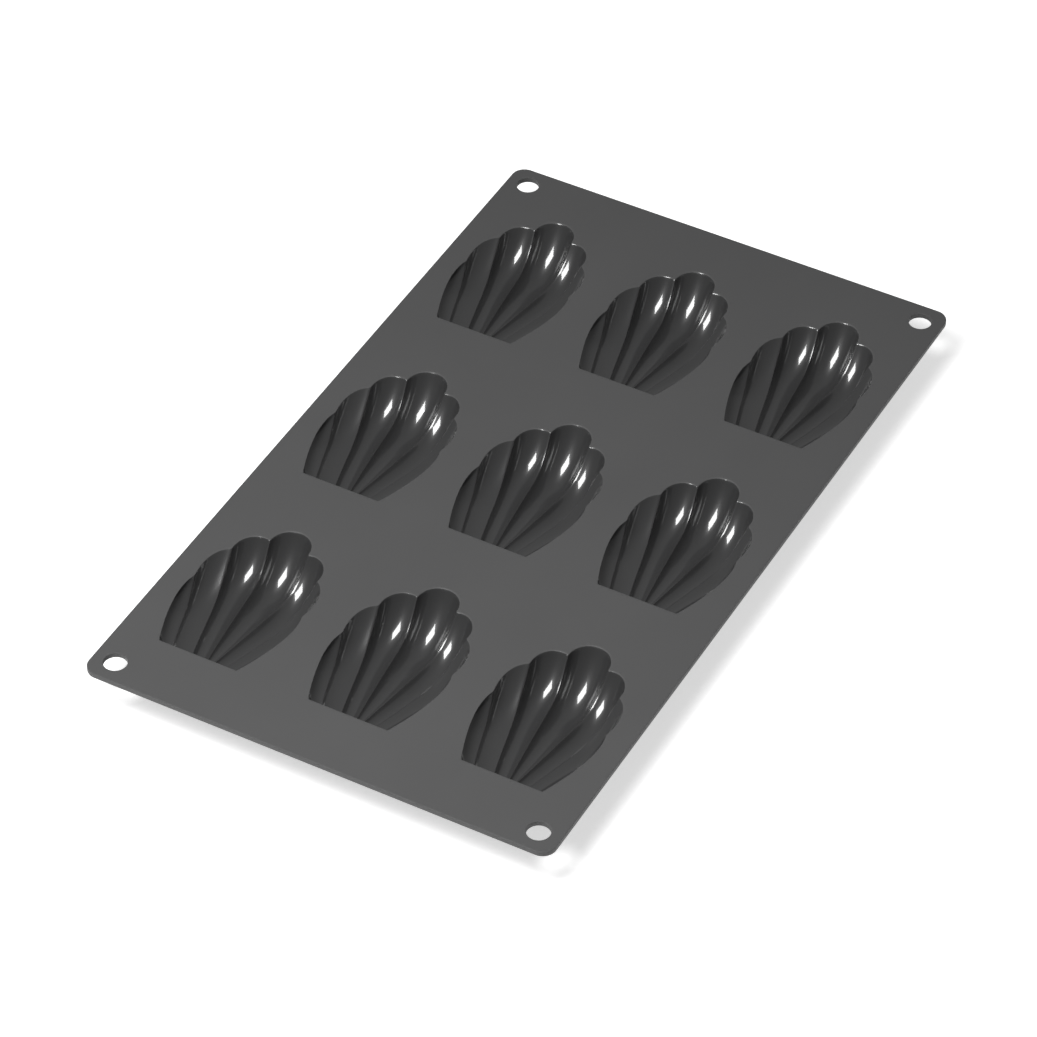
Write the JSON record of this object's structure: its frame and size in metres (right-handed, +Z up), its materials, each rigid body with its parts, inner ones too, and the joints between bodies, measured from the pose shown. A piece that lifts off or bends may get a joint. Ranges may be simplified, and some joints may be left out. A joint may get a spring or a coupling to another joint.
{
  "type": "madeleine pan",
  "caption": "Flexible rubber baking mould: a flat sheet with rows of fluted shell-shaped cups for madeleines and a hanging hole in each corner.",
  "frame": {"origin": "under the middle of the mould, on the surface that its cups stand on", "axes": "+X across the columns, +Y from the heels of the shells to their tips, +Z up out of the cups"},
  "size_m": [0.175, 0.3, 0.017],
  "materials": {
    "sheet_rubber": "dark grey silicone rubber with a fine satin texture",
    "cup_rubber": "dark grey silicone rubber, smooth and glossy inside the cups"
  },
  "bodies": {
    "root": {"top_sheet": "sheet_rubber", "cup_near_left": "cup_rubber", "cup_near_middle": "cup_rubber", "cup_near_right": "cup_rubber", "cup_centre_left": "cup_rubber", "cup_centre_middle": "cup_rubber", "cup_centre_right": "cup_rubber", "cup_far_left": "cup_rubber", "cup_far_middle": "cup_rubber", "cup_far_right": "cup_rubber"}
  },
  "joints": []
}
